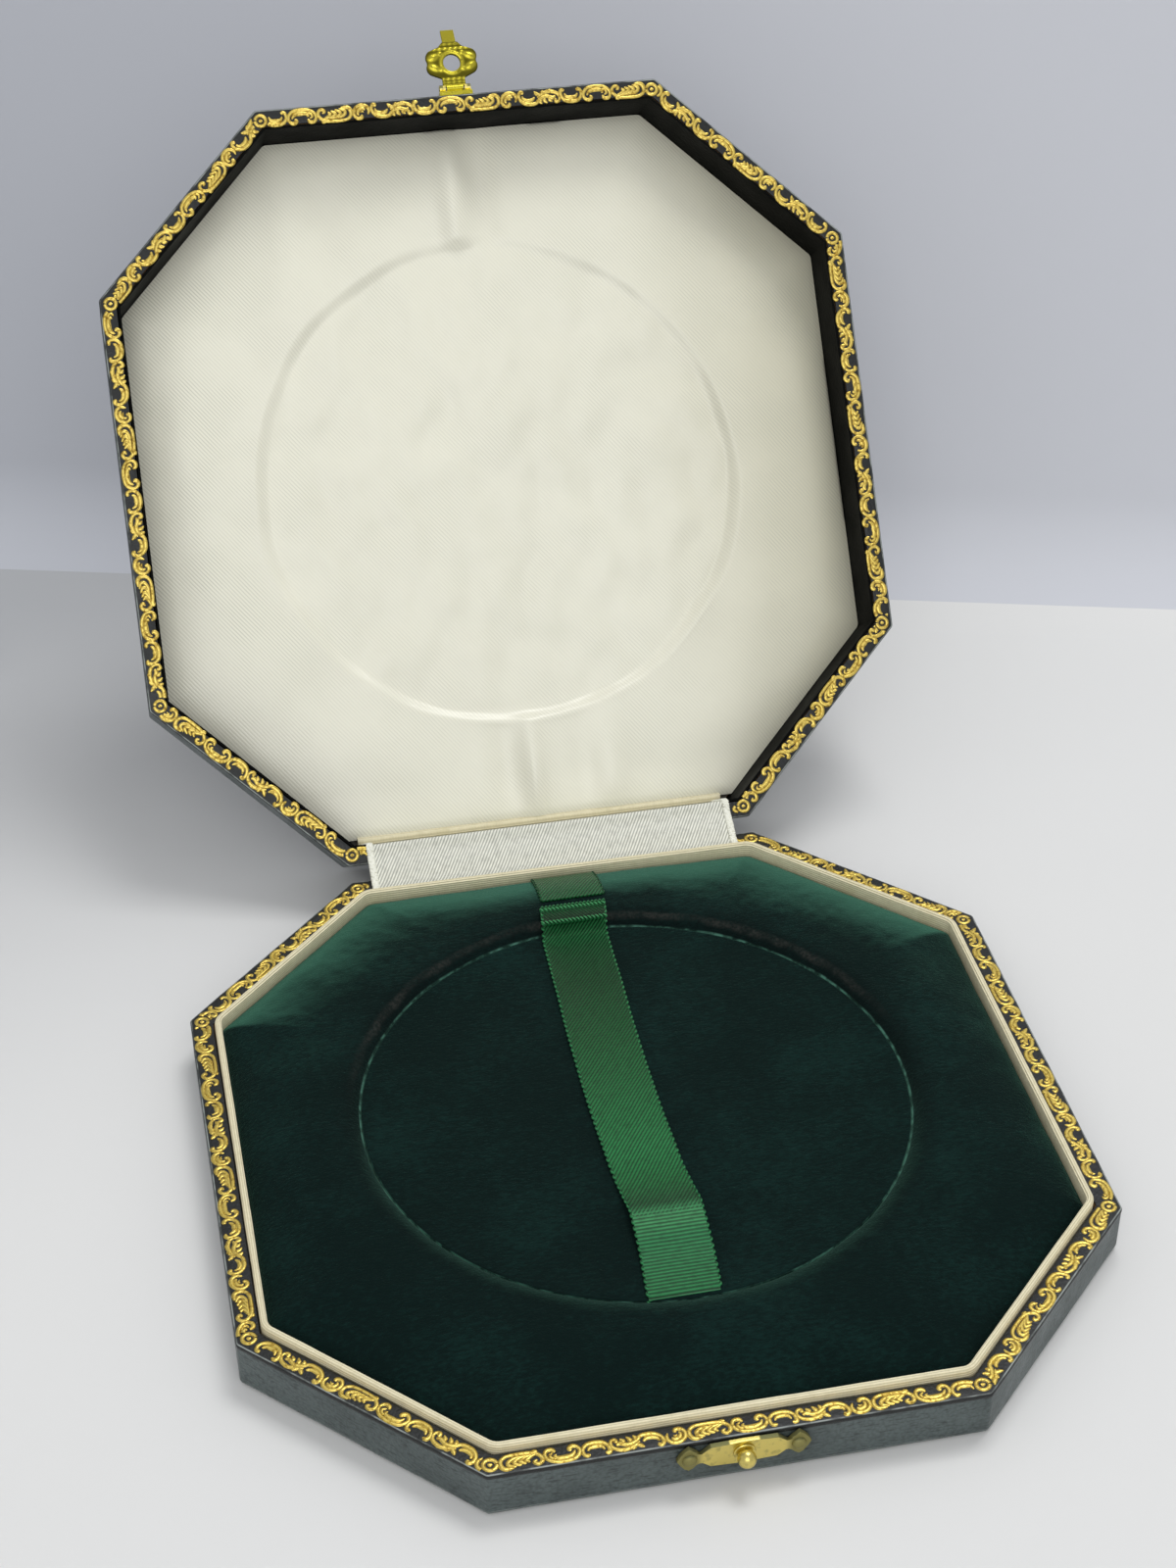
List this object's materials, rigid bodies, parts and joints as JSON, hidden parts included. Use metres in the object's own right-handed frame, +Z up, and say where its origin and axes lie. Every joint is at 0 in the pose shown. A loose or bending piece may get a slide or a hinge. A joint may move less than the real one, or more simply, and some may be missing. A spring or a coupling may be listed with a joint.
{
  "type": "medal presentation case",
  "caption": "Shallow eight-sided presentation case with a hinged lid, a hasp catch, a padded velvet base with a round recess and lift ribbon, and a padded satin lid.",
  "frame": {"origin": "centre of the base's underside, on the table", "axes": "+Z up, +Y from the catch towards the hinge, +X to the right seen from the catch"},
  "size_m": [0.125, 0.2194, 0.1144],
  "materials": {
    "leather": "dark green-grey grained leather, worn at the edges",
    "lining_leather": "thin nearly black leather, smooth",
    "gilt": "gold leaf blocked into the leather",
    "wood": "planed, unfinished",
    "greyboard": "matt greyboard",
    "cream_silk": "ribbed silk over card, aged cream",
    "satin": "cream silk satin",
    "white_ribbon": "white ribbed ribbon",
    "velvet": "dark green velvet, rubbed pale at the folds",
    "green_ribbon": "green ribbed taffeta ribbon",
    "brass": "stamped brass with dull, greenish tarnish",
    "gilt_brass": "bright gilt stamped brass",
    "steel": "drawn wire"
  },
  "bodies": {
    "base": {"base_cover": "leather", "base_board": "wood", "base_rail_right": "wood", "base_rail_back_right": "wood", "base_rail_back": "wood", "base_rail_back_left": "wood", "base_rail_left": "wood", "base_rail_front_left": "wood", "base_rail_front": "wood", "base_rail_front_right": "wood", "collar": "cream_silk", "pad_former": "greyboard", "velvet_pad": "velvet", "recess_block": "wood", "recess_floor": "velvet", "ribbon_tab": "green_ribbon", "catch_plate": "brass", "catch_knob": "brass", "catch_nail_left": "brass", "catch_nail_right": "brass", "hinge_leaf_base": "brass", "hinge_pin": "steel", "hinge_nail_base_left": "brass", "hinge_nail_base_right": "brass", "hinge_ribbon_base": "white_ribbon"},
    "lid": {"lid_cover": "leather", "lid_board": "wood", "lid_rail_right": "wood", "lid_rail_back_right": "wood", "lid_rail_back": "wood", "lid_rail_back_left": "wood", "lid_rail_left": "wood", "lid_rail_front_left": "wood", "lid_rail_front": "wood", "lid_rail_front_right": "wood", "lid_lining": "lining_leather", "satin_board": "greyboard", "satin_pad": "satin", "satin_edge_strip": "cream_silk", "hinge_leaf_lid": "brass", "hinge_nail_lid_left": "brass", "hinge_nail_lid_right": "brass", "hinge_ribbon_lid": "white_ribbon", "hasp_leaf": "brass", "hasp_nail_left": "brass", "hasp_nail_right": "brass", "hasp_pin": "steel"},
    "hasp": {"hasp": "gilt_brass"},
    "lift_ribbon": {"lift_ribbon": "green_ribbon"}
  },
  "joints": [
    {"name": "lid_hinge", "type": "hinge", "parent": "base", "child": "lid", "pos_m": [0, 0.06395, 0.00815], "axis": [1, 0, 0], "range_deg": [0, 127.9]},
    {"name": "hasp_hinge", "type": "hinge", "parent": "lid", "child": "hasp", "pos_m": [0, 0.14387, 0.10796], "axis": [1, 0, 0], "range_deg": [-75, 90]},
    {"name": "ribbon_lift", "type": "hinge", "parent": "base", "child": "lift_ribbon", "pos_m": [0, -0.0385, 0.00948], "axis": [-1, 0, 0], "range_deg": [-70, 0], "deforming": ["lift_ribbon"]}
  ]
}
